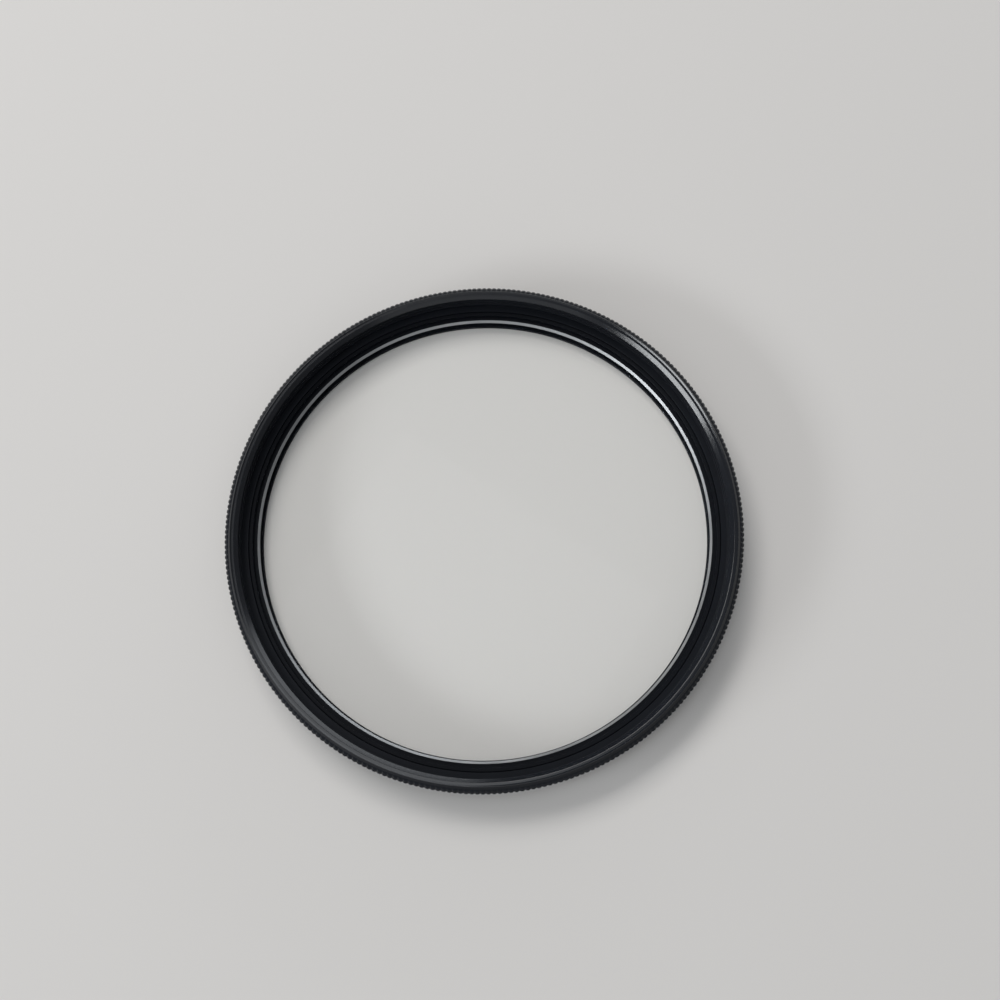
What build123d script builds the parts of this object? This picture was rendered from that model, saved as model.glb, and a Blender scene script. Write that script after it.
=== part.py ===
from build123d import *

import os
from math import cos, pi, sin, sqrt

# A slim screw-in UV filter for a camera lens, in millimetres.
# It lies on the end of its male thread, front side up. +Z is the optical axis,
# towards the front, and the origin is the middle of the bottom end face.

# Thread, the same size at both ends of the ring
thread_diameter = 58.0
thread_pitch = 0.75
thread_clearance = 0.03

# Male end, which screws into the lens
spigot_length = 1.8
lead_chamfer = 0.35
relief_width = 0.35
spigot_wall = 1.0

# Glass and its seat
glass_thickness = 1.0
glass_bevel = 0.12
glass_clearance = 0.1
seat_width = 0.8
seat_lip = 0.4

# Retaining ring, pressed in on top of the glass
retainer_step = 0.4
retainer_clearance = 0.05
retainer_height = 0.8
retainer_lip = 0.3
retainer_land = 0.45
retainer_bevel = 0.25
retainer_inset = 0.1

# Front thread, which takes a lens cap, a hood or a second filter
front_gap = 0.1
front_thread_length = 2.1

# Rim and grip band, from the thread outwards
rim_land = 0.24
rim_bevel = 0.18
rim_step = 0.07
slope_width = 0.4
slope_rise = 0.26
ledge_width = 0.38

# Straight teeth round the grip band
tooth_pitch = 0.618
tooth_depth = 0.34
tooth_crest = 0.1

# A 60 degree metric thread: how deep its inner and its outer form are cut
thread_height = thread_pitch * sqrt(3) / 2
inner_thread_depth = thread_height * 5 / 8
outer_thread_depth = thread_height * 17 / 24

# Radii, from the thread inwards and then outwards
male_radius = thread_diameter / 2 - thread_clearance
male_root_radius = male_radius - outer_thread_depth
glass_pocket_radius = male_root_radius - spigot_wall
glass_radius = glass_pocket_radius - glass_clearance
aperture_radius = glass_radius - seat_width
retainer_pocket_radius = glass_pocket_radius + retainer_step
female_radius = thread_diameter / 2 - inner_thread_depth
mouth_radius = thread_diameter / 2
rim_radius = mouth_radius + rim_land + rim_bevel
ledge_radius = rim_radius + slope_width
grip_radius = ledge_radius + ledge_width

# Heights, stacked up from the bottom end face
glass_bottom = seat_lip
glass_top = glass_bottom + glass_thickness
retainer_top = glass_top + retainer_height
retainer_pocket_top = retainer_top + front_gap
mouth_start = retainer_pocket_top + front_thread_length
rim_top = mouth_start + inner_thread_depth
slope_top = rim_top - rim_bevel - rim_step
grip_top = slope_top - slope_rise

os.makedirs("parts", exist_ok=True)


# Filter ring: one turned piece with the male thread, the glass seat, the front
# thread and the grip band. Both threads are plain: the male one has its crest
# diameter and the front one the diameter that is bored before it is cut.
with BuildPart() as filter_ring:
    with BuildSketch(Plane.XZ):
        with BuildLine():
            Polyline(
                # bore, from the bottom face up to the front thread
                (aperture_radius, 0),
                (aperture_radius, glass_bottom),
                (glass_pocket_radius, glass_bottom),
                (glass_pocket_radius, glass_top),
                (retainer_pocket_radius, glass_top),
                (retainer_pocket_radius, retainer_pocket_top),
                (female_radius, retainer_pocket_top),
                (female_radius, mouth_start),
                # rim, its raised lip and the slope down to the ledge
                (mouth_radius, rim_top),
                (mouth_radius + rim_land, rim_top),
                (rim_radius, rim_top - rim_bevel),
                (rim_radius, slope_top),
                (ledge_radius, grip_top),
                # core of the grip band, then the shoulder that meets the lens
                (ledge_radius, spigot_length),
                (male_root_radius, spigot_length),
                # relief groove and male thread, down to its lead chamfer
                (male_root_radius, spigot_length - relief_width),
                (male_radius, spigot_length - relief_width),
                (male_radius, lead_chamfer),
                (male_radius - lead_chamfer, 0),
                close=True,
            )
        make_face()
    revolve(axis=Axis.Z)

    # Teeth: straight V grooves along the axis with narrow flat crests between them,
    # all round the grip band and through the ledge above it.
    tooth_count = round(2 * pi * grip_radius / tooth_pitch)
    tooth_angle = 2 * pi / tooth_count
    crest_angle = tooth_crest / grip_radius
    tooth_outline = []
    for tooth in range(tooth_count):
        for radius, angle in (
            (grip_radius, -crest_angle / 2),
            (grip_radius, crest_angle / 2),
            (grip_radius - tooth_depth, tooth_angle / 2),
        ):
            turn = tooth * tooth_angle + angle
            tooth_outline.append((radius * cos(turn), radius * sin(turn)))
    with BuildSketch(Plane.XY.offset(spigot_length)):
        Polygon(*tooth_outline, align=None)
        Circle(rim_radius, mode=Mode.SUBTRACT)
    extrude(amount=grip_top - spigot_length)

filter_ring.part.label = "filter_ring"
export_step(filter_ring.part, "parts/filter_ring.step")


# Filter glass: a flat disc with both edges ground to a small bevel
with BuildPart() as filter_glass:
    with BuildSketch(Plane.XY.offset(glass_bottom)):
        Circle(glass_radius)
    extrude(amount=glass_thickness)
    chamfer(filter_glass.edges().filter_by(GeomType.CIRCLE), glass_bevel)

filter_glass.part.label = "filter_glass"
export_step(filter_glass.part, "parts/filter_glass.step")


# Retaining ring: it is pressed into the ring and holds the glass down with a thin
# lip, whose inner edge is cut to a bright bevel round the clear opening
with BuildPart() as retaining_ring:
    retainer_outer_radius = retainer_pocket_radius - retainer_clearance
    retainer_inner_radius = aperture_radius + retainer_inset
    lip_top = glass_top + retainer_lip
    step_radius = retainer_inner_radius + retainer_bevel + retainer_land
    with BuildSketch(Plane.XZ):
        with BuildLine():
            Polyline(
                (retainer_inner_radius, glass_top),
                (retainer_inner_radius, lip_top - retainer_bevel),
                (retainer_inner_radius + retainer_bevel, lip_top),
                (step_radius, lip_top),
                (step_radius, retainer_top),
                (retainer_outer_radius, retainer_top),
                (retainer_outer_radius, glass_top),
                close=True,
            )
        make_face()
    revolve(axis=Axis.Z)

retaining_ring.part.label = "retaining_ring"
export_step(retaining_ring.part, "parts/retaining_ring.step")
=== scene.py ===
import logging
import math
from collections.abc import Callable, Iterable
from dataclasses import dataclass, field
from enum import Enum

import bmesh
import bpy
from mathutils import Matrix, Vector


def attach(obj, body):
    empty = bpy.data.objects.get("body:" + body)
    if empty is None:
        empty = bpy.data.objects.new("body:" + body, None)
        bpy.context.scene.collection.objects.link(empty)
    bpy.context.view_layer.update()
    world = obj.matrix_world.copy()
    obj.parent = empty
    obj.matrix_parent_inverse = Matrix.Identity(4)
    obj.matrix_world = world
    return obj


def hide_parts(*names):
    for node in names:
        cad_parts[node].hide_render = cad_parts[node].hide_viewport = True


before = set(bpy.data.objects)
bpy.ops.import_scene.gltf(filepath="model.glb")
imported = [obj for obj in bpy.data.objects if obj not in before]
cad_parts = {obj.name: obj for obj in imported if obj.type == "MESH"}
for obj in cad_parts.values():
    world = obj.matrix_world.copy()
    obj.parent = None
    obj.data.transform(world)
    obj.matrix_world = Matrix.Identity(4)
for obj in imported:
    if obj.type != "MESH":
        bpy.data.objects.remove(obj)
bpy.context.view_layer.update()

# A slim screw-in lens filter, lying front side up on the end of its male thread.
# Sizes in the classes are millimetres. Meshes are in metres, in the CAD frame: +Z is
# the optical axis and the origin is the middle of the bottom end face. LEVEL_REACH is
# how far a point may lie from its level, and CRISP_ANGLE the tilt in degrees from which
# an edge between two faces stays crisp. The constant after GRIP_RADIUS is a crest radius
# that no piece reaches, for finishes without a painted crest highlight.

MM = 0.001
FULL_TURN = 2 * math.pi
LEVEL_REACH = 0.002
CRISP_ANGLE = 22.0
GRIP_RADIUS = 30.2
NO_CREST_HIGHLIGHT = 60.0
PRESS_GAP = 0.05
GLASS_GAP = 0.1
LOG = logging.getLogger("lens_filter")

Place = Callable[[float, float, float], bool]
Circle = tuple[float, float]
Colour = tuple[float, float, float]
Socket = bpy.types.NodeSocket


class CadNode(Enum):
    """The three CAD nodes that the dressed pieces stand for."""

    RING = "filter_ring"
    RETAINER = "retaining_ring"
    GLASS = "filter_glass"


class Slot(Enum):
    """Material slots of the record."""

    RING = "ring_black"
    RETAINER = "retainer_black"
    GLASS = "clear_glass"


class ThreadForm(Enum):
    """Which way the groove of a thread is cut into its wall."""

    INSIDE = "front"
    OUTSIDE = "male"


# Mesh bench


class Bench:
    """A workpiece in Blender's edit mode, shaped with mesh operators.

    Places are read as radius and height in millimetres from the optical axis.
    """

    def __init__(self, name: str, radius: float, height: float, columns: int) -> None:
        """Starts the workpiece as one open circle of edges.

        Args:
            name: Name of the object and of its mesh.
            radius: Radius of the circle in millimetres.
            height: Height of the circle in millimetres.
            columns: Number of points round the circle.
        """
        deselect_all()
        bpy.ops.mesh.primitive_circle_add(
            vertices=columns, radius=radius * MM, fill_type="NOTHING",
            location=(0, 0, height * MM),
        )
        self.obj = bpy.context.object
        self.obj.name = name
        self.obj.data.name = name
        bpy.ops.object.transform_apply(location=True, rotation=True, scale=True)
        bpy.ops.object.mode_set(mode="EDIT")
        bpy.ops.mesh.select_mode(type="VERT")
        bpy.ops.mesh.select_all(action="SELECT")
        self.radius = radius
        self.height = height

    def select(self, place: Place) -> None:
        """Selects the points whose radius, height and angle pass a test.

        Args:
            place: Test of radius and height in millimetres and angle in radians.
        """
        mesh = bmesh.from_edit_mesh(self.obj.data)
        for point in mesh.verts:
            x, y, z = point.co
            point.select = place(math.hypot(x, y) / MM, z / MM, math.atan2(y, x))
        self.flush(mesh)

    def pick(self, indices: Iterable[int]) -> None:
        """Selects just the points with the given indices.

        Args:
            indices: Indices of the points.
        """
        chosen = set(indices)
        mesh = bmesh.from_edit_mesh(self.obj.data)
        for index, point in enumerate(mesh.verts):
            point.select = index in chosen
        self.flush(mesh)

    def flush(self, mesh: bmesh.types.BMesh) -> None:
        """Lets the edges and faces follow the selection of their points.

        Args:
            mesh: The workpiece's mesh in edit mode.
        """
        mesh.select_flush_mode()
        mesh.select_flush(True)
        bmesh.update_edit_mesh(self.obj.data)

    def selected_radii(self) -> dict[int, float]:
        """Returns the radius in millimetres of each selected point, by its index."""
        mesh = bmesh.from_edit_mesh(self.obj.data)
        return {index: point.co.xy.length / MM
                for index, point in enumerate(mesh.verts) if point.select}

    def scale_round(self, factor: float) -> None:
        """Scales what is selected towards or away from the optical axis."""
        bpy.ops.transform.resize(value=(factor, factor, 1), center_override=(0, 0, 0))

    def extrude_to(self, radius: float, height: float) -> None:
        """Extrudes the selected circle to a new radius and height.

        Args:
            radius: New radius in millimetres.
            height: New height in millimetres.
        """
        bpy.ops.mesh.extrude_region_move(
            TRANSFORM_OT_translate={"value": (0, 0, (height - self.height) * MM)}
        )
        if radius != self.radius:
            self.scale_round(radius / self.radius)
        self.radius, self.height = radius, height

    def follow(self, profile: list[Circle]) -> None:
        """Extrudes the selected circle along a profile of radius and height."""
        for radius, height in profile:
            self.extrude_to(radius, height)

    def redraw_teeth(self, crest: tuple[float, float], root: tuple[float, float]) -> None:
        """Moves the crests and the roots of the selected toothed outline.

        Args:
            crest: Old and new radius of the crests in millimetres.
            root: Old and new radius of the roots in millimetres.
        """
        outline = self.selected_radii()
        middle = (crest[0] + root[0]) / 2
        for is_crest, (old, new) in ((True, crest), (False, root)):
            self.pick(i for i, radius in outline.items() if (radius > middle) is is_crest)
            self.scale_round(new / old)
        self.pick(outline)

    def bridge(self, first: Circle, second: Circle, reach: float = 0.008) -> None:
        """Closes the wall between two open edge circles at different heights.

        Args:
            first: Radius and height of the first circle in millimetres.
            second: Radius and height of the second circle in millimetres.
            reach: How far a point may be from its circle, in millimetres.
        """
        mesh = bmesh.from_edit_mesh(self.obj.data)
        rims = []
        for edge in mesh.edges:
            places = [(math.hypot(v.co.x, v.co.y) / MM, v.co.z / MM) for v in edge.verts]
            if edge.is_boundary and any(
                all(math.dist(place, circle) < reach for place in places)
                for circle in (first, second)
            ):
                rims.append(edge)
        for part in (*mesh.faces, *mesh.edges, *mesh.verts):
            part.select = False
        bpy.ops.mesh.select_mode(type="EDGE")
        for edge in rims:
            edge.select_set(True)
        bmesh.update_edit_mesh(self.obj.data)
        bpy.ops.mesh.bridge_edge_loops()
        bpy.ops.mesh.select_mode(type="VERT")

    def leave(self) -> bpy.types.Object:
        """Leaves edit mode and returns the object."""
        bpy.ops.object.mode_set(mode="OBJECT")
        return self.obj

    def enter(self) -> None:
        """Goes back into edit mode with nothing selected."""
        deselect_all()
        self.obj.select_set(True)
        bpy.context.view_layer.objects.active = self.obj
        bpy.ops.object.mode_set(mode="EDIT")
        bpy.ops.mesh.select_mode(type="VERT")
        bpy.ops.mesh.select_all(action="DESELECT")

    def close_up(self, merge: float = 0.002) -> None:
        """Merges doubles and turns every face outwards, in edit mode.

        Args:
            merge: Distance in millimetres under which points become one.
        """
        bpy.ops.mesh.select_all(action="SELECT")
        bpy.ops.mesh.remove_doubles(threshold=merge * MM)
        bpy.ops.mesh.normals_make_consistent(inside=False)
        bpy.ops.mesh.select_all(action="DESELECT")


def deselect_all() -> None:
    """Leaves no object selected, so an operator acts on nothing by mistake."""
    if bpy.context.object and bpy.context.object.mode != "OBJECT":
        bpy.ops.object.mode_set(mode="OBJECT")
    bpy.ops.object.select_all(action="DESELECT")


def smooth_by_angle(obj: bpy.types.Object, degrees: float) -> None:
    """Shades an object smooth, with edges sharper than an angle kept crisp.

    Args:
        obj: The piece to shade.
        degrees: Angle between faces from which their edge stays sharp.
    """
    deselect_all()
    obj.select_set(True)
    bpy.context.view_layer.objects.active = obj
    bpy.ops.object.shade_smooth_by_angle(angle=math.radians(degrees))


def open_edges(obj: bpy.types.Object) -> int:
    """Counts the edges of a mesh that don't have exactly two faces.

    Args:
        obj: The piece to count on.

    Returns:
        How many there are, which is 0 for a closed mesh.
    """
    mesh = bmesh.new()
    mesh.from_mesh(obj.data)
    count = sum(1 for edge in mesh.edges if len(edge.link_faces) != 2)
    mesh.free()
    return count


# Finishes


class NodeBench:
    """Adds nodes to a tree and links them, left to right."""

    def __init__(self, tree: bpy.types.NodeTree) -> None:
        """Keeps the tree that the nodes go into."""
        self.tree = tree

    def add(self, kind: str, **settings: object) -> bpy.types.Node:
        """Adds a node.

        Args:
            kind: Blender's name of the node type.
            **settings: Properties of the node to set.

        Returns:
            The new node.
        """
        node = self.tree.nodes.new(kind)
        for key, value in settings.items():
            setattr(node, key, value)
        node.location = (220 * (len(self.tree.nodes) % 8), -260 * (len(self.tree.nodes) // 8))
        return node

    def link(self, source: Socket, target: Socket) -> None:
        """Links an output to an input."""
        self.tree.links.new(source, target)

    def feed(self, value: Socket | float | tuple, target: Socket) -> None:
        """Links a socket to an input, or sets the input to a plain value.

        Args:
            value: The socket or the plain value.
            target: The input.
        """
        if isinstance(value, bpy.types.NodeSocket):
            self.link(value, target)
        else:
            target.default_value = value

    def math(self, operation: str, first: Socket | float, second: Socket | float = 0.0,
             third: Socket | float = 0.0) -> Socket:
        """Adds a math node and returns its result.

        Args:
            operation: Name of the operation.
            first: First value or the socket that it comes from.
            second: Second value or socket.
            third: Third value or socket.

        Returns:
            The output socket.
        """
        node = self.add("ShaderNodeMath", operation=operation)
        for index, value in enumerate((first, second, third)):
            self.feed(value, node.inputs[index])
        return node.outputs[0]

    def noise(self, place: Socket, scale: Socket | float, detail: float) -> Socket:
        """Adds a 3-D noise texture and returns its value.

        Args:
            place: Socket with the place that the noise is read at.
            scale: Scale of the noise, or the socket that it comes from.
            detail: How many finer layers it has.

        Returns:
            The output socket.
        """
        node = self.add("ShaderNodeTexNoise", noise_dimensions="3D")
        node.inputs["Detail"].default_value = detail
        self.feed(scale, node.inputs["Scale"])
        self.link(place, node.inputs["Vector"])
        return node.outputs["Fac"]

    def axis_distance(self, place: Socket) -> tuple[Socket, bpy.types.Node]:
        """Adds nodes that read the distance from the optical axis.

        Args:
            place: Socket with the object coordinates.

        Returns:
            The distance in metres and the node with the separate coordinates.
        """
        apart = self.add("ShaderNodeSeparateXYZ")
        self.link(place, apart.inputs[0])
        square = self.math("ADD", self.math("POWER", apart.outputs[0], 2.0),
                           self.math("POWER", apart.outputs[1], 2.0))
        return self.math("SQRT", square), apart

    def bump(self, height: Socket, shader: bpy.types.Node) -> None:
        """Adds a bump node in front of a shader's normal.

        Args:
            height: Height of the relief in millimetres.
            shader: The shader.
        """
        node = self.add("ShaderNodeBump")
        node.inputs["Strength"].default_value = 1.0
        node.inputs["Distance"].default_value = MM
        self.link(height, node.inputs["Height"])
        self.link(node.outputs[0], shader.inputs["Normal"])

    def mix_colour(self, mask: Socket, low: Socket | Colour, high: Socket | Colour) -> Socket:
        """Mixes two colours by a mask.

        Args:
            mask: Share of the second colour.
            low: First colour, or the socket that it comes from.
            high: Second colour or socket.

        Returns:
            The output socket.
        """
        node = self.add("ShaderNodeMix", data_type="RGBA")
        self.link(mask, node.inputs[0])
        for index, value in ((6, low), (7, high)):
            plain = not isinstance(value, bpy.types.NodeSocket)
            self.feed((*value, 1.0) if plain else value, node.inputs[index])
        return node.outputs[2]


def new_group(name: str, inputs: dict[str, tuple[str, float]],
              outputs: dict[str, str]) -> tuple[bpy.types.NodeTree, NodeBench,
                                                bpy.types.Node, bpy.types.Node]:
    """Starts a shader node group with named sockets.

    Args:
        name: Name of the group.
        inputs: Socket type and start value of each input, by name.
        outputs: Socket type of each output, by name.

    Returns:
        The group, a bench for its nodes, its input node and its output node.
    """
    group = bpy.data.node_groups.new(name, "ShaderNodeTree")
    for key, (kind, value) in inputs.items():
        socket = group.interface.new_socket(key, in_out="INPUT", socket_type=kind)
        if kind == "NodeSocketFloat":
            socket.default_value = value
    for key, kind in outputs.items():
        group.interface.new_socket(key, in_out="OUTPUT", socket_type=kind)
    bench = NodeBench(group)
    return group, bench, bench.add("NodeGroupInput"), bench.add("NodeGroupOutput")


def turned_marks_group() -> bpy.types.NodeTree:
    """Fine circular tool marks, as a lathe leaves them on every turned face.

    Returns:
        The node group, with outputs Height and Streak.
    """
    group, bench, start, end = new_group(
        "turned_marks",
        {"Position": ("NodeSocketVector", 0.0), "Pitch mm": ("NodeSocketFloat", 0.03),
         "Unevenness": ("NodeSocketFloat", 0.5)},
        {"Height": "NodeSocketFloat", "Streak": "NodeSocketFloat"},
    )
    change_round = 1.3
    broad_scale = 260.0
    radius, apart = bench.axis_distance(start.outputs["Position"])
    along = bench.math("SUBTRACT", radius, apart.outputs[2])
    turns = bench.math("DIVIDE", bench.math("MULTIPLY", along, 1 / MM),
                       start.outputs["Pitch mm"])
    angle = bench.math("ARCTAN2", apart.outputs[1], apart.outputs[0])
    place = bench.add("ShaderNodeCombineXYZ")
    bench.link(turns, place.inputs[0])
    for index, wave in ((1, "COSINE"), (2, "SINE")):
        bench.link(bench.math("MULTIPLY", bench.math(wave, angle), change_round),
                   place.inputs[index])
    lines = bench.noise(place.outputs[0], scale=1.0, detail=3.0)
    broad = bench.noise(start.outputs["Position"], broad_scale, detail=2.0)
    swing = bench.math("SUBTRACT", broad, 0.5)
    uneven = bench.math("MULTIPLY", swing, start.outputs["Unevenness"])
    bench.link(lines, end.inputs["Height"])
    bench.link(bench.math("ADD", lines, uneven), end.inputs["Streak"])
    return group


def blast_grain_group() -> bpy.types.NodeTree:
    """The fine matt grain of an etched and anodised surface.

    Returns:
        The node group, with outputs Height and Cloud.
    """
    group, bench, start, end = new_group(
        "blast_grain",
        {"Position": ("NodeSocketVector", 0.0), "Grain per mm": ("NodeSocketFloat", 22.0)},
        {"Height": "NodeSocketFloat", "Cloud": "NodeSocketFloat"},
    )
    cloud_scale = 420.0
    fine = bench.noise(start.outputs["Position"], bench.math(
        "MULTIPLY", start.outputs["Grain per mm"], 1 / MM), detail=2.0)
    cloud = bench.noise(start.outputs["Position"], cloud_scale, detail=4.0)
    bench.link(fine, end.inputs["Height"])
    bench.link(cloud, end.inputs["Cloud"])
    return group


def painted_crest_highlight_group() -> bpy.types.NodeTree:
    """Painted highlight: the outer edge of the grip band is made a little lighter, where the
    tooth crests catch the light.

    Returns:
        The node group, with output Mask.
    """
    group, bench, start, end = new_group(
        "painted_crest_highlight",
        {"Position": ("NodeSocketVector", 0.0), "Radius mm": ("NodeSocketFloat", GRIP_RADIUS),
         "Width mm": ("NodeSocketFloat", 0.1)},
        {"Mask": "NodeSocketFloat"},
    )
    patch_scale = 900.0
    distance, _ = bench.axis_distance(start.outputs["Position"])
    radius = bench.math("MULTIPLY", distance, 1 / MM)
    inner = bench.math("SUBTRACT", start.outputs["Radius mm"], start.outputs["Width mm"])
    share = bench.math("DIVIDE", bench.math("SUBTRACT", radius, inner),
                       start.outputs["Width mm"])
    patchy = bench.noise(start.outputs["Position"], patch_scale, detail=3.0)
    clamped = bench.add("ShaderNodeClamp")
    bench.link(bench.math("MULTIPLY", share, patchy), clamped.inputs[0])
    bench.link(clamped.outputs[0], end.inputs["Mask"])
    return group


@dataclass(frozen=True)
class NodeGroups:
    """The shader node groups that the finishes share, built once."""

    turned_marks: bpy.types.NodeTree
    blast_grain: bpy.types.NodeTree
    painted_crest_highlight: bpy.types.NodeTree


def start_material(name: str) -> tuple[bpy.types.Material, NodeBench, bpy.types.Node,
                                       bpy.types.Node, Socket]:
    """Starts a node material with a Principled BSDF.

    Args:
        name: Name of the material.

    Returns:
        The material, its node bench, its Principled BSDF, its output node and its
        object coordinates.
    """
    material = bpy.data.materials.new(name)
    material.use_nodes = True
    material.node_tree.nodes.clear()
    bench = NodeBench(material.node_tree)
    shader = bench.add("ShaderNodeBsdfPrincipled")
    end = bench.add("ShaderNodeOutputMaterial")
    bench.link(shader.outputs[0], end.inputs[0])
    place = bench.add("ShaderNodeTexCoord").outputs["Object"]
    return material, bench, shader, end, place


def add_group(bench: NodeBench, group: bpy.types.NodeTree, place: Socket,
              **values: float) -> bpy.types.Node:
    """Places a shared node group in a material.

    Args:
        bench: Node bench of the material.
        group: The node group.
        place: Socket with the object coordinates.
        **values: Start value of each other input, its spaces written as underscores.

    Returns:
        The group node.
    """
    node = bench.add("ShaderNodeGroup", node_tree=group)
    bench.link(place, node.inputs["Position"])
    for key, value in values.items():
        node.inputs[key.replace("_", " ")].default_value = value
    return node


@dataclass(frozen=True)
class BlackAnodising:
    """Satin black anodised aluminium with circular tool marks, and a painted highlight in
    lighter colour at its crest radius.
    """

    name: str
    dark: Colour
    light: Colour
    roughness: float
    roughness_swing: float
    specular: float
    mark_pitch: float
    mark_depth: float
    grain_depth: float
    crest_radius: float
    crest_highlight_colour: Colour
    unevenness: float = 0.6
    grain_per_mm: float = 18.0
    crest_highlight_width: float = 0.12
    crest_highlight_share: float = 0.5
    ior: float = 1.5

    def build(self, groups: NodeGroups) -> bpy.types.Material:
        """Builds the material.

        Args:
            groups: The shared shader node groups.

        Returns:
            The material.
        """
        material, bench, shader, _, place = start_material(self.name)
        marks = add_group(bench, groups.turned_marks, place,
                          Pitch_mm=self.mark_pitch, Unevenness=self.unevenness)
        grain = add_group(bench, groups.blast_grain, place, Grain_per_mm=self.grain_per_mm)
        # Painted highlight: the colour turns lighter towards the crest radius, for light
        # caught on the tooth crests.
        highlight_node = add_group(bench, groups.painted_crest_highlight, place,
                         Radius_mm=self.crest_radius, Width_mm=self.crest_highlight_width)
        body = bench.mix_colour(grain.outputs["Cloud"], self.dark, self.light)
        highlight_amount = bench.math("MULTIPLY", highlight_node.outputs["Mask"], self.crest_highlight_share)
        bench.link(bench.mix_colour(highlight_amount, body, self.crest_highlight_colour),
                   shader.inputs["Base Color"])
        swing = bench.math("SUBTRACT", marks.outputs["Streak"], 0.5)
        bench.link(bench.math("MULTIPLY_ADD", swing, self.roughness_swing, self.roughness),
                   shader.inputs["Roughness"])
        shader.inputs["Specular IOR Level"].default_value = self.specular
        shader.inputs["IOR"].default_value = self.ior
        bench.bump(bench.math(
            "ADD", bench.math("MULTIPLY", marks.outputs["Height"], self.mark_depth),
            bench.math("MULTIPLY", grain.outputs["Height"], self.grain_depth)), shader)
        return material


@dataclass(frozen=True)
class BrightCut:
    """Bare aluminium, cut bright after anodising."""

    name: str
    dark: Colour
    light: Colour
    roughness: float
    mark_pitch: float
    mark_depth: float
    roughness_swing: float = 0.12
    unevenness: float = 1.2

    def build(self, groups: NodeGroups) -> bpy.types.Material:
        """Builds the material.

        Args:
            groups: The shared shader node groups.

        Returns:
            The material.
        """
        material, bench, shader, _, place = start_material(self.name)
        marks = add_group(bench, groups.turned_marks, place,
                          Pitch_mm=self.mark_pitch, Unevenness=self.unevenness)
        colour = bench.mix_colour(marks.outputs["Streak"], self.dark, self.light)
        bench.link(colour, shader.inputs["Base Color"])
        shader.inputs["Metallic"].default_value = 1.0
        swing = bench.math("SUBTRACT", marks.outputs["Streak"], 0.5)
        bench.link(bench.math("MULTIPLY_ADD", swing, self.roughness_swing, self.roughness),
                   shader.inputs["Roughness"])
        bench.bump(bench.math("MULTIPLY", marks.outputs["Height"], self.mark_depth), shader)
        return material


@dataclass(frozen=True)
class CoatedGlass:
    """Clear filter glass with a coating that takes most of its reflection."""

    name: str
    colour: Colour
    ior: float
    specular: float
    tint_swing: float = 0.004

    def build(self, groups: NodeGroups) -> bpy.types.Material:
        """Builds the material. Light falls through it without caustics.

        The index is low because the coating takes the reflection that bare glass has.

        Args:
            groups: The shared shader node groups.

        Returns:
            The material.
        """
        material, bench, shader, end, place = start_material(self.name)
        grain = add_group(bench, groups.blast_grain, place)
        tint = bench.mix_colour(
            grain.outputs["Cloud"], self.colour,
            tuple(min(1.0, part + self.tint_swing) for part in self.colour))
        bench.link(tint, shader.inputs["Base Color"])
        shader.inputs["Roughness"].default_value = 0.0
        shader.inputs["IOR"].default_value = self.ior
        shader.inputs["Transmission Weight"].default_value = 1.0
        shader.inputs["Specular IOR Level"].default_value = self.specular
        clear = bench.add("ShaderNodeBsdfTransparent")
        clear.inputs[0].default_value = (*self.colour, 1.0)
        path = bench.add("ShaderNodeLightPath")
        through = bench.math("MAXIMUM", path.outputs["Is Shadow Ray"],
                             path.outputs["Is Diffuse Ray"])
        mix = bench.add("ShaderNodeMixShader")
        bench.link(through, mix.inputs[0])
        bench.link(shader.outputs[0], mix.inputs[1])
        bench.link(clear.outputs[0], mix.inputs[2])
        bench.link(mix.outputs[0], end.inputs[0])
        return material


@dataclass(frozen=True)
class PaleFloor:
    """Plain matt floor."""

    name: str
    colour: Colour
    roughness: float = 0.9
    specular: float = 0.1

    def build(self) -> bpy.types.Material:
        """Builds the material.

        Returns:
            The material.
        """
        material, _, shader, _, _ = start_material(self.name)
        shader.inputs["Base Color"].default_value = (*self.colour, 1.0)
        shader.inputs["Roughness"].default_value = self.roughness
        shader.inputs["Specular IOR Level"].default_value = self.specular
        return material


# Threads


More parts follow.
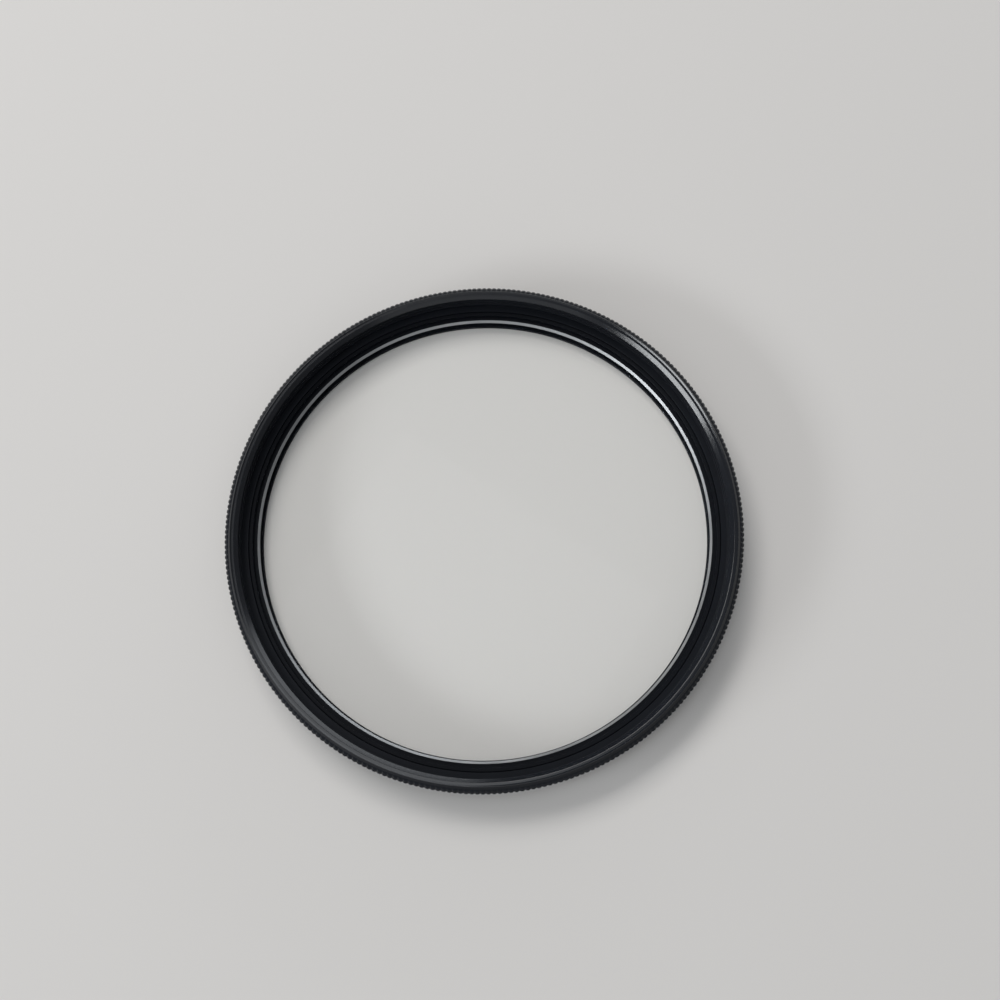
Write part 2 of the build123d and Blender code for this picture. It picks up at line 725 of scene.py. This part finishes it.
@dataclass
class ScrewThread:
    """One turned thread wall: a 60 degree helix that is faded into its two ends.

    The helix comes from a screw modifier. No operator trims a helix to a cone, so its
    points are moved to the end faces and to the chamfer in code. The chamfer gives the
    radius that the wall keeps within at a height, and spare_turns is how much longer
    than the wall the helix starts out.
    """

    name: str
    form: ThreadForm
    minor_radius: float
    major_radius: float
    low: float
    high: float
    columns: int
    chamfer: Callable[[float], float] | None = None
    start_turn: float = 0.0
    pitch: float = 0.75
    narrow_share: float = 0.5
    flank_steps: int = 3
    spare_turns: int = 2
    merge: float = 0.004

    def profile(self) -> list[Circle]:
        """Works out one pitch of the thread.

        Returns:
            Radius and height of its points, from the middle of its crest.
        """
        flank = (self.major_radius - self.minor_radius) * math.tan(math.pi / 6)
        flat = (self.pitch - 2 * flank) / 2
        narrow, wide = self.narrow_share * flat, (2 - self.narrow_share) * flat
        if self.form is ThreadForm.INSIDE:
            near, far, crest, root = self.minor_radius, self.major_radius, wide, narrow
        else:
            near, far, crest, root = self.major_radius, self.minor_radius, narrow, wide
        points = [(near, crest / 2)]
        shares = [step / self.flank_steps for step in range(self.flank_steps + 1)]
        for share in shares[1:]:
            points.append((near + (far - near) * share, crest / 2 + flank * share))
        for share in shares:
            points.append((far + (near - far) * share,
                           crest / 2 + flank + root + flank * share))
        return points

    def build(self) -> bpy.types.Object:
        """Builds the thread wall.

        Returns:
            The wall as an open tube.
        """
        turns = math.ceil((self.high - self.low) / self.pitch) + self.spare_turns
        base = self.low - self.pitch * (self.spare_turns - 0.5 + self.start_turn)
        deselect_all()
        bpy.ops.mesh.primitive_plane_add(size=MM)
        obj = bpy.context.object
        obj.name = self.name
        bpy.ops.object.mode_set(mode="EDIT")
        bpy.ops.mesh.select_all(action="SELECT")
        bpy.ops.mesh.merge(type="CENTER")
        last = Vector((0, 0, 0))
        for turn in range(turns):
            for radius, height in self.profile():
                point = Vector((radius, 0, base + turn * self.pitch + height)) * MM
                if last.length == 0:
                    bpy.ops.transform.translate(value=point)
                else:
                    bpy.ops.mesh.extrude_region_move(
                        TRANSFORM_OT_translate={"value": point - last})
                last = point
        bpy.ops.object.mode_set(mode="OBJECT")
        screw = obj.modifiers.new("helix", "SCREW")
        screw.axis = "Z"
        screw.angle = FULL_TURN
        screw.screw_offset = self.pitch * MM
        screw.steps = self.columns
        screw.render_steps = self.columns
        screw.use_merge_vertices = False
        bpy.ops.object.modifier_apply(modifier=screw.name)
        self.trim(obj.data)
        bpy.ops.object.mode_set(mode="EDIT")
        bpy.ops.mesh.select_all(action="SELECT")
        bpy.ops.mesh.remove_doubles(threshold=self.merge * MM)
        bpy.ops.object.mode_set(mode="OBJECT")
        return obj

    def trim(self, mesh: bpy.types.Mesh) -> None:
        """Moves the points beyond the ends onto them, and all onto the chamfer.

        Args:
            mesh: The mesh of the helix, changed in place.
        """
        inside = self.form is ThreadForm.INSIDE
        end_radius = self.minor_radius if inside else self.major_radius
        for point in mesh.vertices:
            x, y, z = (part / MM for part in point.co)
            radius = math.hypot(x, y)
            height = min(max(z, self.low), self.high)
            new = radius if height == z else end_radius
            if self.chamfer:
                new = min(new, self.chamfer(height))
            point.co = Vector((x * new / radius, y * new / radius, height)) * MM


# Sub-assemblies


@dataclass
class FilterRing:
    """The turned and knurled ring, with both threads and the glass seat.

    From the outside inwards its top has the toothed grip band, the crown that the teeth
    run out over, the ledge, the slope, the rim with a small facet on its inner side, the
    land and the mouth chamfer. The walls are made one by one, as open tubes, and bridged
    between the open circles that the properties give.
    """

    tooth_count: int = 307
    grip_radius: float = GRIP_RADIUS
    tooth_depth: float = 0.12
    tooth_crest: float = 0.24
    tooth_end: float = 0.1
    crown_rise: float = 0.2
    crown_crest: float = 29.95
    crown_root: float = 29.8
    crown_foot: float = 29.72
    ledge_rise: float = 0.06
    shoulder: float = 1.8
    grip_top: float = 4.296
    rim_radius: float = 29.42
    slope_top: float = 4.556
    rim_drop: float = 0.14
    rim_top: float = 4.806
    mouth_radius: float = 29.0
    mouth_low: float = 4.25
    front_minor: float = 28.594
    front_major: float = 28.98
    pocket_top: float = 2.3
    pocket_radius: float = 27.91
    seat_radius: float = 27.51
    glass_top: float = 1.4
    glass_bottom: float = 0.4
    aperture_radius: float = 26.61
    male_minor: float = 28.51
    male_major: float = 28.97
    male_top: float = 1.45
    lead_chamfer: float = 0.35
    end_round: float = 0.015
    edge_break: float = 0.03
    fine_break: float = 0.02
    pocket_lip: float = 0.04
    end_lip: float = 0.06
    shoulder_lip: float = 0.1
    bore_margin: float = 0.1
    merge: float = 0.001
    crisp_angle: float = 12.0
    # Its lighter colour at the grip crest is a painted highlight on the tooth tips.
    finish: BlackAnodising = field(default_factory=lambda: BlackAnodising(
        name="ring_black_anodised",
        dark=(0.003, 0.004, 0.007), light=(0.005, 0.007, 0.011),
        roughness=0.2, roughness_swing=0.1, specular=0.42,
        mark_pitch=0.035, mark_depth=0.0012, grain_depth=0.0008,
        crest_radius=GRIP_RADIUS, crest_highlight_colour=(0.03, 0.031, 0.032)))
    recess_finish: BlackAnodising = field(default_factory=lambda: BlackAnodising(
        name="recess_black_matt",
        dark=(0.004, 0.005, 0.008), light=(0.007, 0.009, 0.013),
        roughness=0.55, roughness_swing=0.1, specular=0.14,
        mark_pitch=0.05, mark_depth=0.004, grain_depth=0.002,
        crest_radius=NO_CREST_HIGHLIGHT, crest_highlight_colour=(0.01, 0.01, 0.01)))

    @property
    def tooth_root(self) -> float:
        """Returns the radius of the grip band's grooves."""
        return self.grip_radius - self.tooth_depth

    @property
    def mouth_foot(self) -> Circle:
        """Returns the open circle at the foot of the mouth chamfer."""
        return self.front_minor + self.end_round, self.mouth_low + self.end_round

    @property
    def pocket_mouth(self) -> Circle:
        """Returns the open circle at the top of the pocket's wall."""
        return self.front_minor - self.pocket_lip, self.pocket_top - self.end_round

    @property
    def end_face_edge(self) -> Circle:
        """Returns the open circle at the outer edge of the bottom end face."""
        return self.male_minor - self.end_lip, 0.0

    @property
    def groove_low(self) -> Circle:
        """Returns the open circle at the lower end of the relief groove."""
        return self.male_minor - self.edge_break, self.male_top + self.fine_break

    @property
    def groove_high(self) -> Circle:
        """Returns the open circle at the upper end of the relief groove."""
        return self.male_minor, self.shoulder - self.end_round

    @property
    def shoulder_edge(self) -> Circle:
        """Returns the open circle at the inner edge of the shoulder."""
        return self.male_minor + self.shoulder_lip, self.shoulder

    def tooth_outline(self, height: float) -> Bench:
        """Starts the outer wall as one toothed outline.

        Args:
            height: Height of the outline in millimetres.

        Returns:
            The bench with the outline at its full size.
        """
        bench = Bench("filter_ring_dressed", self.grip_radius, height, 3 * self.tooth_count)
        pitch = FULL_TURN / self.tooth_count
        third = pitch / 3

        def phase(angle: float) -> int:
            """Returns 0 for a root point and 1 or 2 for the crest's two points."""
            return int(((angle + third / 2) % pitch) / third) % 3

        bench.select(lambda radius, height, angle: phase(angle) == 0)
        bench.scale_round(self.tooth_root / self.grip_radius)
        shift = third / 2 - self.tooth_crest / self.grip_radius / 2
        mesh = bmesh.from_edit_mesh(bench.obj.data)
        for point in mesh.verts:
            turn = (0.0, shift, -shift)[phase(math.atan2(point.co.y, point.co.x))]
            point.co = Matrix.Rotation(turn, 3, "Z") @ point.co
        bmesh.update_edit_mesh(bench.obj.data)
        return bench

    def round_off(self, bench: Bench, crest: float, root: float, radius: float) -> None:
        """Draws the toothed outline in, then extrudes it, level, into a plain circle.

        Args:
            bench: Bench whose toothed outline is selected, at its full size.
            crest: New radius of the crests in millimetres.
            root: New radius of the roots in millimetres.
            radius: Radius of the circle in millimetres.
        """
        bench.redraw_teeth((self.grip_radius, crest), (self.tooth_root, root))
        bpy.ops.mesh.extrude_region_move(TRANSFORM_OT_translate={"value": (0, 0, 0)})
        bench.redraw_teeth((crest, radius), (root, radius))
        bench.radius = radius

    def outer_wall(self) -> Bench:
        """Makes the shoulder, grip band, ledge, slope and rim as one open wall.

        Returns:
            The bench with the wall, from the shoulder to the foot of the mouth chamfer.
        """
        start = self.shoulder + self.tooth_end
        bench = self.tooth_outline(start)
        bench.select(lambda radius, height, angle: True)
        bench.extrude_to(self.grip_radius, self.shoulder)
        self.round_off(bench, self.grip_radius - self.tooth_end, self.tooth_root,
                       self.tooth_root - self.edge_break)
        bench.follow([self.shoulder_edge])

        bench.select(lambda radius, height, angle: abs(height - start) < LEVEL_REACH)
        bench.radius, bench.height = self.grip_radius, start
        crown_top = self.grip_top - self.ledge_rise
        bench.extrude_to(self.grip_radius, crown_top - self.crown_rise)
        bench.extrude_to(self.grip_radius, crown_top)
        self.round_off(bench, self.crown_crest, self.crown_root, self.crown_foot)
        bpy.ops.transform.translate(value=(0, 0, self.ledge_rise * MM))
        bench.height = self.grip_top

        rim_edge = self.rim_radius - self.edge_break
        land = self.rim_top - self.rim_drop
        bench.follow([
            (self.rim_radius + self.fine_break, self.slope_top),
            (self.rim_radius, self.slope_top + self.fine_break),
            (self.rim_radius, self.rim_top - self.edge_break),
            (self.rim_radius - self.edge_break / 2, self.rim_top),
            (rim_edge, self.rim_top),
            (rim_edge - self.rim_drop, land),
            (self.mouth_radius + self.fine_break, land),
            (self.mouth_radius - self.fine_break, land - self.fine_break),
            self.mouth_foot,
        ])
        return bench

    def inner_wall(self) -> bpy.types.Object:
        """Makes the retainer pocket, the glass seat and the bottom end face.

        Returns:
            The open wall, from the pocket's mouth to the end face's outer edge.
        """
        bench = Bench("inner_wall", *self.pocket_mouth, self.tooth_count)
        bench.follow([
            (self.pocket_radius + self.edge_break, bench.height),
            (self.pocket_radius, bench.height - self.edge_break),
            (self.pocket_radius, self.glass_top),
            (self.seat_radius, self.glass_top),
            (self.seat_radius, self.glass_bottom),
            (self.aperture_radius + self.edge_break, self.glass_bottom),
            (self.aperture_radius, self.glass_bottom - self.edge_break),
            (self.aperture_radius, self.edge_break),
            (self.aperture_radius + self.edge_break, 0.0),
            self.end_face_edge,
        ])
        return bench.leave()

    def relief_groove(self) -> bpy.types.Object:
        """Makes the groove between the male thread and the shoulder.

        Returns:
            The open wall of the groove.
        """
        bench = Bench("relief_groove", *self.groove_low, self.tooth_count)
        bench.follow([(bench.radius, self.shoulder - self.edge_break), self.groove_high])
        return bench.leave()

    def build(self, groups: NodeGroups) -> bpy.types.Object:
        """Builds the ring as one closed mesh and dresses it.

        Args:
            groups: The shared shader node groups.

        Returns:
            The finished ring.
        """
        chamfer_foot = self.male_major - self.lead_chamfer
        parts = [
            ScrewThread("front_thread", ThreadForm.INSIDE, self.front_minor,
                        self.front_major, self.pocket_top, self.mouth_low,
                        self.tooth_count, start_turn=0.2).build(),
            ScrewThread("male_thread", ThreadForm.OUTSIDE, self.male_minor,
                        self.male_major, self.end_round, self.male_top,
                        self.tooth_count, chamfer=lambda z: chamfer_foot + z).build(),
            self.inner_wall(),
            self.relief_groove(),
        ]
        bench = self.outer_wall()
        ring = bench.leave()
        deselect_all()
        for part in (*parts, ring):
            part.select_set(True)
        bpy.context.view_layer.objects.active = ring
        bpy.ops.object.join()
        bench.enter()
        for first, second in (
            ((self.front_minor, self.mouth_low), self.mouth_foot),
            ((self.front_minor, self.pocket_top), self.pocket_mouth),
            ((chamfer_foot + self.end_round, self.end_round), self.end_face_edge),
            ((self.male_major, self.male_top), self.groove_low),
            (self.groove_high, self.shoulder_edge),
        ):
            bench.bridge(first, second)
        bench.close_up(merge=self.merge)
        bench.leave()
        smooth_by_angle(ring, self.crisp_angle)
        self.dress(ring, groups)
        return ring

    def dress(self, ring: bpy.types.Object, groups: NodeGroups) -> None:
        """Gives the ring its finish, and the matt one to its bore and front thread.

        Args:
            ring: The ring.
            groups: The shared shader node groups.
        """
        bore = self.pocket_radius + self.bore_margin
        ring.data.materials.clear()
        ring.data.materials.append(self.finish.build(groups))
        ring.data.materials.append(self.recess_finish.build(groups))
        for face in ring.data.polygons:
            radius = face.center.xy.length / MM
            height = face.center.z / MM
            in_thread = radius < self.mouth_radius and self.shoulder < height < self.mouth_low
            in_bore = radius < bore and height > self.fine_break / 2
            face.material_index = int(in_bore or in_thread)


@dataclass
class RetainingRing:
    """The thin ring on the glass, black with a bright-cut inner bevel."""

    columns: int = 384
    outer_radius: float = FilterRing.pocket_radius - PRESS_GAP
    step_radius: float = 27.41
    inner_radius: float = 26.71
    bevel: float = 0.25
    lip_flat: float = 0.2
    bottom: float = FilterRing.glass_top
    top: float = 2.2
    lip_top: float = 1.7
    edge: float = 0.06
    lip_step: float = 0.03
    end_round: float = 0.015
    finish: BlackAnodising = field(default_factory=lambda: BlackAnodising(
        name="retainer_black_anodised",
        dark=(0.003, 0.004, 0.006), light=(0.005, 0.006, 0.009),
        roughness=0.55, roughness_swing=0.1, specular=0.1,
        mark_pitch=0.05, mark_depth=0.006, grain_depth=0.003,
        crest_radius=NO_CREST_HIGHLIGHT, crest_highlight_colour=(0.01, 0.01, 0.01)))
    bright: BrightCut = field(default_factory=lambda: BrightCut(
        name="retainer_bright_cut", dark=(0.3, 0.31, 0.32), light=(0.46, 0.47, 0.48),
        roughness=0.5, mark_pitch=0.03, mark_depth=0.004))

    def build(self, groups: NodeGroups) -> bpy.types.Object:
        """Builds the ring as one closed mesh and dresses it.

        Args:
            groups: The shared shader node groups.

        Returns:
            The finished ring.
        """
        bench = Bench("retaining_ring_dressed", self.inner_radius,
                      self.bottom + self.end_round, self.columns)
        bevel_outer = self.inner_radius + self.bevel
        bevel_low = self.lip_top - self.bevel
        bench.follow([
            (self.inner_radius, bevel_low),
            (bevel_outer, self.lip_top),
            (bevel_outer + self.lip_flat, self.lip_top),
            (bevel_outer + self.lip_flat + self.lip_step, self.lip_top - self.lip_step),
            (self.step_radius, self.lip_top - self.lip_step),
            (self.step_radius, self.top - self.edge),
            (self.step_radius + self.edge, self.top),
            (self.outer_radius - self.edge, self.top),
            (self.outer_radius, self.top - self.edge),
            (self.outer_radius, self.bottom + self.edge),
            (self.outer_radius - self.edge, self.bottom),
            (self.inner_radius + self.edge, self.bottom),
        ])
        bench.bridge((self.inner_radius + self.edge, self.bottom),
                     (self.inner_radius, self.bottom + self.end_round))
        bench.close_up()
        ring = bench.leave()
        smooth_by_angle(ring, CRISP_ANGLE)
        ring.data.materials.append(self.finish.build(groups))
        ring.data.materials.append(self.bright.build(groups))
        margin = self.bevel / 4
        for face in ring.data.polygons:
            radius = face.center.xy.length / MM
            height = face.center.z / MM
            on_bevel = radius < bevel_outer - margin and height > bevel_low + margin
            face.material_index = int(on_bevel)
        return ring


@dataclass
class FilterGlass:
    """The flat glass disc with ground edges."""

    columns: int = 256
    radius: float = FilterRing.seat_radius - GLASS_GAP
    bottom: float = FilterRing.glass_bottom
    thickness: float = FilterRing.glass_top - FilterRing.glass_bottom
    bevel: float = 0.12
    finish: CoatedGlass = field(default_factory=lambda: CoatedGlass(
        name="coated_clear_glass", colour=(0.996, 0.999, 0.996),
        ior=1.08, specular=0.1))

    def build(self, groups: NodeGroups) -> bpy.types.Object:
        """Builds the disc and dresses it.

        Args:
            groups: The shared shader node groups.

        Returns:
            The finished glass.
        """
        deselect_all()
        bpy.ops.mesh.primitive_cylinder_add(
            vertices=self.columns, radius=self.radius * MM, depth=self.thickness * MM,
            location=(0, 0, (self.bottom + self.thickness / 2) * MM))
        glass = bpy.context.object
        glass.name = "filter_glass_dressed"
        bpy.ops.object.transform_apply(location=True, rotation=True, scale=True)
        bpy.ops.object.mode_set(mode="EDIT")
        bpy.ops.mesh.select_mode(type="EDGE")
        bpy.ops.mesh.select_all(action="DESELECT")
        mesh = bmesh.from_edit_mesh(glass.data)
        for edge in mesh.edges:
            rise = abs(edge.verts[0].co.z - edge.verts[1].co.z)
            edge.select = rise < LEVEL_REACH * MM
        bmesh.update_edit_mesh(glass.data)
        bpy.ops.mesh.bevel(offset=self.bevel * MM, segments=1, affect="EDGES")
        bpy.ops.mesh.select_all(action="SELECT")
        bpy.ops.mesh.normals_make_consistent(inside=False)
        bpy.ops.object.mode_set(mode="OBJECT")
        smooth_by_angle(glass, CRISP_ANGLE)
        glass.data.materials.append(self.finish.build(groups))
        return glass


# Studio


@dataclass(frozen=True)
class SoftLamp:
    """A rectangular soft lamp that faces the middle of the part.

    Its distance and its sides are in metres. Radiance is what a mirror shows of it.
    """

    name: str
    direction: tuple[float, float, float]
    distance: float
    width: float
    height: float
    radiance: float
    colour: Colour

    def build(self) -> bpy.types.Object:
        """Adds the lamp, its long side level.

        Returns:
            The lamp.
        """
        way = Vector(self.direction).normalized()
        data = bpy.data.lights.new(self.name, "AREA")
        data.shape = "RECTANGLE"
        data.size, data.size_y = self.width, self.height
        data.energy = self.radiance * math.pi * self.width * self.height
        data.color = self.colour
        lamp = bpy.data.objects.new(self.name, data)
        lamp.matrix_world = Matrix.Translation(way * self.distance) @ (
            way.to_track_quat("Z", "Y").to_matrix().to_4x4())
        bpy.context.scene.collection.objects.link(lamp)
        return lamp


@dataclass
class Studio:
    """Pale floor, soft lamps, plain world and the camera.

    The camera's place and target are in millimetres. The floor and the clip range are in
    metres, and the lens and its sensor are in millimetres, as cameras have them.
    """

    floor_side: float = 3.0
    floor_finish: PaleFloor = field(default_factory=lambda: PaleFloor(
        name="pale_floor", colour=(0.665, 0.65, 0.635)))
    floor_drop: float = 0.00002
    world_colour: Colour = (0.97, 0.985, 1.0)
    world_strength: float = 0.27
    lamps: tuple[SoftLamp, ...] = (
        SoftLamp("key_top_left", (-0.36, 0.585, 0.725), 0.8, 0.58, 0.26, 6.9,
                 (1.0, 0.985, 0.965)),
        SoftLamp("window_left", (-0.85, -0.40, 0.34), 0.8, 0.42, 0.11, 19.0,
                 (0.95, 0.98, 1.0)),
        SoftLamp("front_fill", (-0.05, -0.89, 0.45), 0.8, 0.9, 0.35, 0.65,
                 (0.95, 0.98, 1.0)),
        SoftLamp("overhead", (-0.11, 0.07, 0.98), 1.0, 0.44, 0.35, 2.6,
                 (0.94, 0.97, 1.0)),
        SoftLamp("low_back", (0.4, 0.9, 0.13), 0.9, 0.9, 0.2, 2.9,
                 (0.92, 0.96, 1.0)),
    )
    camera_place: tuple[float, float, float] = (5.82, -27.87, 117.1)
    camera_target: tuple[float, float, float] = (2.07, 2.83, 4.296)
    camera_up: tuple[float, float, float] = (0.009, 0.965, 0.262)
    lens: float = 36.04
    sensor_width: float = 36.0
    clip_range: tuple[float, float] = (0.005, 10.0)

    def build_floor(self) -> bpy.types.Object:
        """Adds the floor under the part.

        Returns:
            The floor.
        """
        deselect_all()
        bpy.ops.mesh.primitive_plane_add(
            size=self.floor_side, location=(0, 0, -self.floor_drop))
        floor = bpy.context.object
        floor.name = "floor"
        floor.data.materials.append(self.floor_finish.build())
        return floor

    def build_world(self) -> None:
        """Gives the scene an even, dim surrounding light."""
        world = bpy.data.worlds.new("studio_world")
        bpy.context.scene.world = world
        world.use_nodes = True
        shade = world.node_tree.nodes["Background"]
        shade.inputs[0].default_value = (*self.world_colour, 1.0)
        shade.inputs[1].default_value = self.world_strength

    def build_camera(self) -> bpy.types.Object:
        """Adds the camera at the photograph's place and angle.

        Returns:
            The camera.
        """
        place = Vector(self.camera_place)
        back = (place - Vector(self.camera_target)).normalized()
        right = Vector(self.camera_up).cross(back).normalized()
        up = back.cross(right)
        data = bpy.data.cameras.new("camera")
        data.sensor_width = self.sensor_width
        data.lens = self.lens
        data.clip_start, data.clip_end = self.clip_range
        camera = bpy.data.objects.new("camera", data)
        turn = Matrix((right, up, back)).transposed().to_4x4()
        camera.matrix_world = Matrix.Translation(place * MM) @ turn
        bpy.context.scene.collection.objects.link(camera)
        bpy.context.scene.camera = camera
        return camera

    def build(self) -> None:
        """Adds everything round the part and sets the view transform."""
        self.build_floor()
        self.build_world()
        for lamp in self.lamps:
            lamp.build()
        self.build_camera()
        bpy.context.scene.view_settings.view_transform = "Standard"


# Main


def put_on_frame(piece: bpy.types.Object, node: CadNode) -> None:
    """Hangs a finished piece on the frame in place of its CAD node.

    Args:
        piece: The finished piece.
        node: The CAD node that it stands for.
    """
    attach(piece, "root")
    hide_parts(node.value)
    piece.data.calc_loop_triangles()
    LOG.info("%s: %d triangles, %d open edges", piece.name,
             len(piece.data.loop_triangles), open_edges(piece))


def main() -> None:
    """Builds the filter and the studio round it."""
    logging.basicConfig(level=logging.INFO, format="%(name)s %(message)s")
    Studio().build()
    groups = NodeGroups(turned_marks_group(), blast_grain_group(), painted_crest_highlight_group())
    put_on_frame(FilterRing().build(groups), CadNode.RING)
    put_on_frame(RetainingRing().build(groups), CadNode.RETAINER)
    put_on_frame(FilterGlass().build(groups), CadNode.GLASS)


if __name__ == "__main__":
    main()
